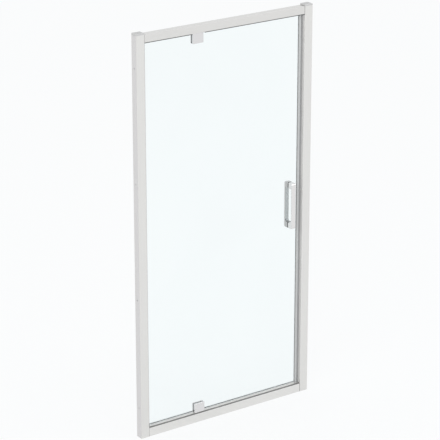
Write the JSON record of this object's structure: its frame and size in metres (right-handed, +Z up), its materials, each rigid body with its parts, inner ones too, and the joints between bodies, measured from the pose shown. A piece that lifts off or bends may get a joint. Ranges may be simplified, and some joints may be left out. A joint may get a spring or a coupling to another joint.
{
  "type": "pivot shower door",
  "caption": "Framed pivot shower door: a clear glass leaf that turns on pins in the header and sill, with back-to-back D handles and wall channels that telescope to fit the recess.",
  "frame": {"origin": "bottom of the frame, midway along it, in the middle plane of the glass", "axes": "+X along the door from the pivot side to the handle side, +Y from the room into the shower, +Z up"},
  "size_m": [0.97, 0.064, 1.95],
  "materials": {
    "frame_aluminium": "bright anodised, satin",
    "channel_aluminium": "mill finish",
    "stile_caps": "metallised, satin",
    "steel_fasteners": "turned stainless steel",
    "pivot_steel": "ground stainless steel",
    "insert_nylon": "glass-filled nylon, moulded",
    "bush_acetal": "moulded acetal",
    "sleeve_nylon": "natural nylon",
    "gasket_rubber": "matt",
    "clamp_chrome": "polished chrome plate",
    "handle_chrome": "polished chrome plate",
    "clear_glass": "toughened, clear, polished edges",
    "edge_profile_grey": "extruded, satin",
    "edge_lip_rubber": "soft lip, matt",
    "magnet_strip": "flexible magnet, matt",
    "strike_carrier_grey": "extruded, satin",
    "seal_rubber": "soft extrusion, matt",
    "drip_clip_plastic": "extruded, clear PVC",
    "drip_flap_vinyl": "soft clear vinyl"
  },
  "bodies": {
    "hinge_channel": {"hinge_wall_channel": "channel_aluminium"},
    "frame": {"hinge_stile": "frame_aluminium", "strike_stile": "frame_aluminium", "header_rail": "frame_aluminium", "sill_rail": "frame_aluminium", "hinge_stile_cap": "stile_caps", "strike_stile_cap": "stile_caps", "header_corner_screws": "steel_fasteners", "sill_corner_screws": "steel_fasteners", "hinge_clamp_screws": "steel_fasteners", "hinge_clamp_washers": "steel_fasteners", "hinge_clamp_nuts": "steel_fasteners", "strike_clamp_screws": "steel_fasteners", "strike_clamp_washers": "steel_fasteners", "strike_clamp_nuts": "steel_fasteners", "header_pivot_insert": "insert_nylon", "sill_pivot_insert": "insert_nylon", "header_bush": "bush_acetal", "sill_bush": "bush_acetal", "header_insert_screws": "steel_fasteners", "sill_insert_screws": "steel_fasteners", "header_seal": "seal_rubber", "hinge_side_seal": "seal_rubber", "strike_carrier": "strike_carrier_grey", "strike_magnet": "magnet_strip"},
    "strike_channel": {"strike_wall_channel": "channel_aluminium"},
    "door": {"bottom_back_gasket": "gasket_rubber", "bottom_clamp_back": "clamp_chrome", "bottom_clamp_front": "clamp_chrome", "bottom_clamp_screws": "steel_fasteners", "bottom_clamp_sleeves": "sleeve_nylon", "bottom_front_gasket": "gasket_rubber", "bottom_pivot_pin": "pivot_steel", "door_edge_lips": "edge_lip_rubber", "door_edge_profile": "edge_profile_grey", "door_magnet": "magnet_strip", "glass_panel": "clear_glass", "handle_grub_screws": "steel_fasteners", "handle_sleeves": "sleeve_nylon", "handle_studs": "steel_fasteners", "inner_handle": "handle_chrome", "inner_handle_gaskets": "gasket_rubber", "long_drip_clip": "drip_clip_plastic", "long_drip_flap": "drip_flap_vinyl", "outer_handle": "handle_chrome", "outer_handle_gaskets": "gasket_rubber", "short_drip_clip": "drip_clip_plastic", "short_drip_flap": "drip_flap_vinyl", "thrust_washer": "pivot_steel", "top_back_gasket": "gasket_rubber", "top_clamp_back": "clamp_chrome", "top_clamp_front": "clamp_chrome", "top_clamp_screws": "steel_fasteners", "top_clamp_sleeves": "sleeve_nylon", "top_front_gasket": "gasket_rubber", "top_pivot_pin": "pivot_steel"}
  },
  "joints": [
    {"name": "hinge_side_adjust", "type": "slide", "parent": "hinge_channel", "child": "frame", "axis": [1, 0, 0], "range_m": [0, 0.02]},
    {"name": "strike_side_adjust", "type": "slide", "parent": "frame", "child": "strike_channel", "axis": [1, 0, 0], "range_m": [0, 0.02]},
    {"name": "door_pivot", "type": "hinge", "parent": "frame", "child": "door", "pos_m": [-0.151, 0, 0.044], "axis": [0, 0, -1], "range_deg": [0, 95]}
  ]
}
